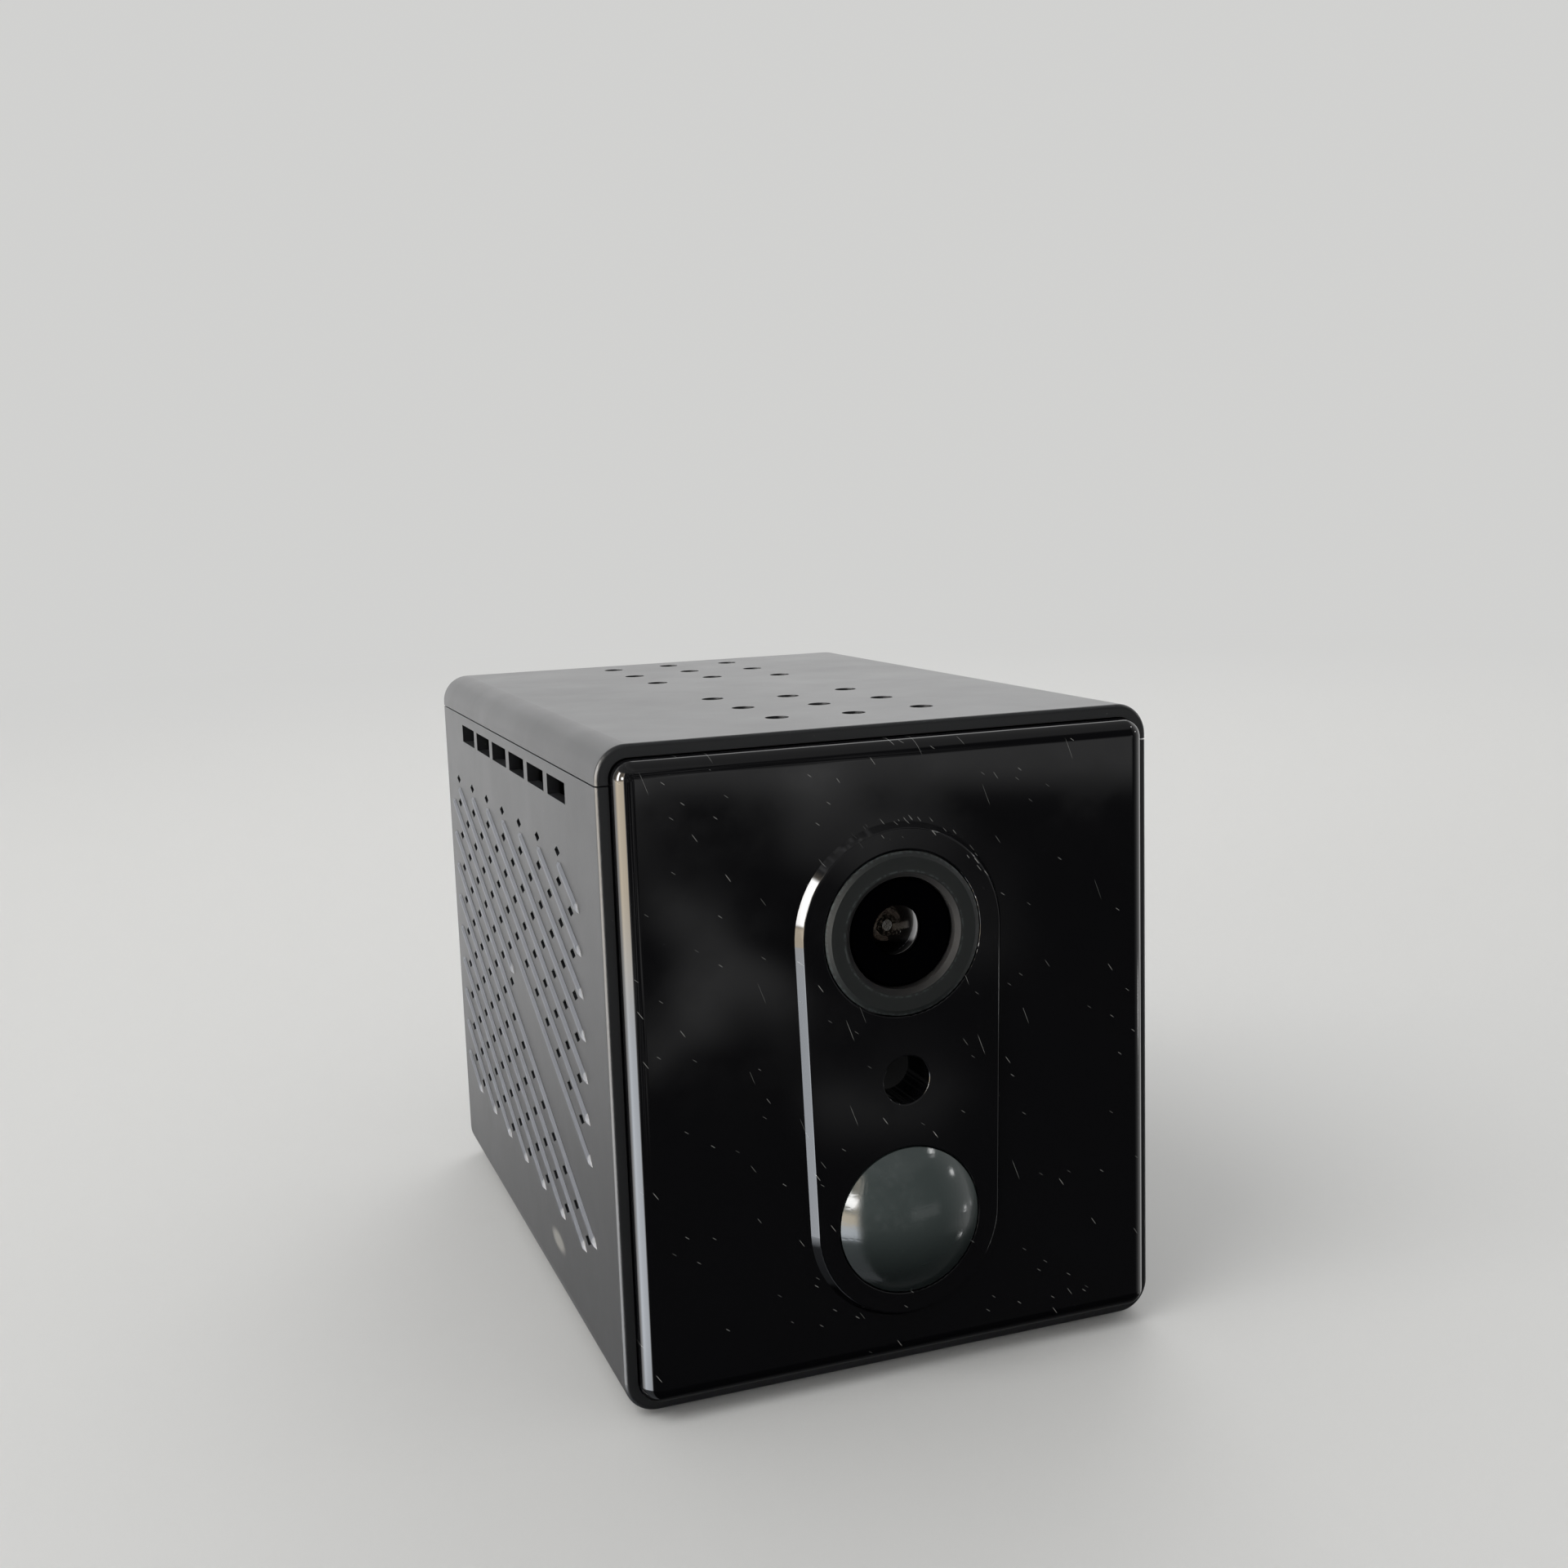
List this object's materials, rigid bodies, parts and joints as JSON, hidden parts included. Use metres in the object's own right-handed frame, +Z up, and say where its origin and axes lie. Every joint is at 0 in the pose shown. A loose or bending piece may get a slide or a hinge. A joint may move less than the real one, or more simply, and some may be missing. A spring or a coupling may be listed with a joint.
{
  "type": "cube security camera",
  "caption": "Compact battery security camera: deep cuboid casing with slotted, latticed sides, vented top, glossy front with a lens above a domed motion sensor",
  "frame": {"origin": "on the surface the camera stands on, in the middle of its footprint", "axes": "+X to the right of the front, +Y from the front to the back, +Z up; the lens looks along -Y"},
  "size_m": [0.0506, 0.0756, 0.057],
  "materials": {
    "moulded_casing": "fine satin spark-eroded texture, black",
    "gloss_panel": "piano black, polished",
    "matte_ring": "matte, fine grain",
    "inner_moulding": "plain moulded black",
    "lens_glass": "coated and clear",
    "motion_lens": "smoke grey, faintly translucent",
    "smoked_window": "smoked and polished",
    "sensor_silicon": "silicon behind a clear cover",
    "clear_lamp": "clear resin",
    "circuit_board": "solder mask, satin",
    "chip_resin": "matte moulded resin",
    "connector_nylon": "natural nylon",
    "heat_pad": "soft silicone pad",
    "heat_sink": "extruded",
    "shield_steel": "tin-plated sheet",
    "screw_steel": "black zinc-plated",
    "antenna_film": "laminated film",
    "flex_film": "amber film",
    "battery_pouch": "laminated foil pouch",
    "tape_foam": "thin foam tape",
    "speaker_steel": "black painted steel",
    "button_plastic": "satin moulded",
    "card_resin": "matte resin",
    "foot_rubber": "matte rubber",
    "insert_brass": "turned and threaded"
  },
  "bodies": {
    "root": {"antenna": "antenna_film", "battery_cells": "battery_pouch", "battery_connector": "connector_nylon", "battery_tape": "tape_foam", "board_connector": "connector_nylon", "body_tub": "moulded_casing", "button_switches": "shield_steel", "camera_board": "circuit_board", "card_socket": "shield_steel", "cover_screws": "screw_steel", "filter_glass": "lens_glass", "flex_cable": "flex_film", "flex_connector": "connector_nylon", "frame_screws": "screw_steel", "front_board_screws": "screw_steel", "front_frame": "inner_moulding", "front_glass": "lens_glass", "front_panel": "gloss_panel", "heat_pad": "heat_pad", "heat_sink": "heat_sink", "image_sensor": "sensor_silicon", "infrared_leds": "clear_lamp", "inner_lens": "lens_glass", "lens_barrel": "inner_moulding", "lens_holder": "inner_moulding", "lens_ring": "matte_ring", "light_sensor": "sensor_silicon", "main_board": "circuit_board", "main_board_screws": "screw_steel", "main_chip": "chip_resin", "memory_chips": "chip_resin", "microphone": "speaker_steel", "microphone_boot": "tape_foam", "microphone_connector": "connector_nylon", "panel_tape": "tape_foam", "pir_can": "shield_steel", "pir_lens": "motion_lens", "rear_cover": "moulded_casing", "rubber_feet": "foot_rubber", "sensor_board": "circuit_board", "sensor_window": "smoked_window", "speaker": "speaker_steel", "speaker_gasket": "tape_foam", "status_led": "clear_lamp", "top_cover": "moulded_casing", "tripod_insert": "insert_brass", "usb_socket": "shield_steel", "wifi_module": "shield_steel"},
    "power_button": {"power_button": "button_plastic", "power_plunger": "button_plastic"},
    "reset_button": {"reset_button": "button_plastic", "reset_plunger": "button_plastic"},
    "memory_card": {"memory_card": "card_resin"}
  },
  "joints": [
    {"name": "power_press", "type": "slide", "parent": "root", "child": "power_button", "axis": [0, -1, 0], "range_m": [0, 0.0003], "stiffness_N_per_m": 1500},
    {"name": "reset_press", "type": "slide", "parent": "root", "child": "reset_button", "axis": [0, -1, 0], "range_m": [0, 0.0003], "stiffness_N_per_m": 1500},
    {"name": "card_slide", "type": "slide", "parent": "root", "child": "memory_card", "axis": [0, 1, 0], "range_m": [0, 0.01]}
  ]
}
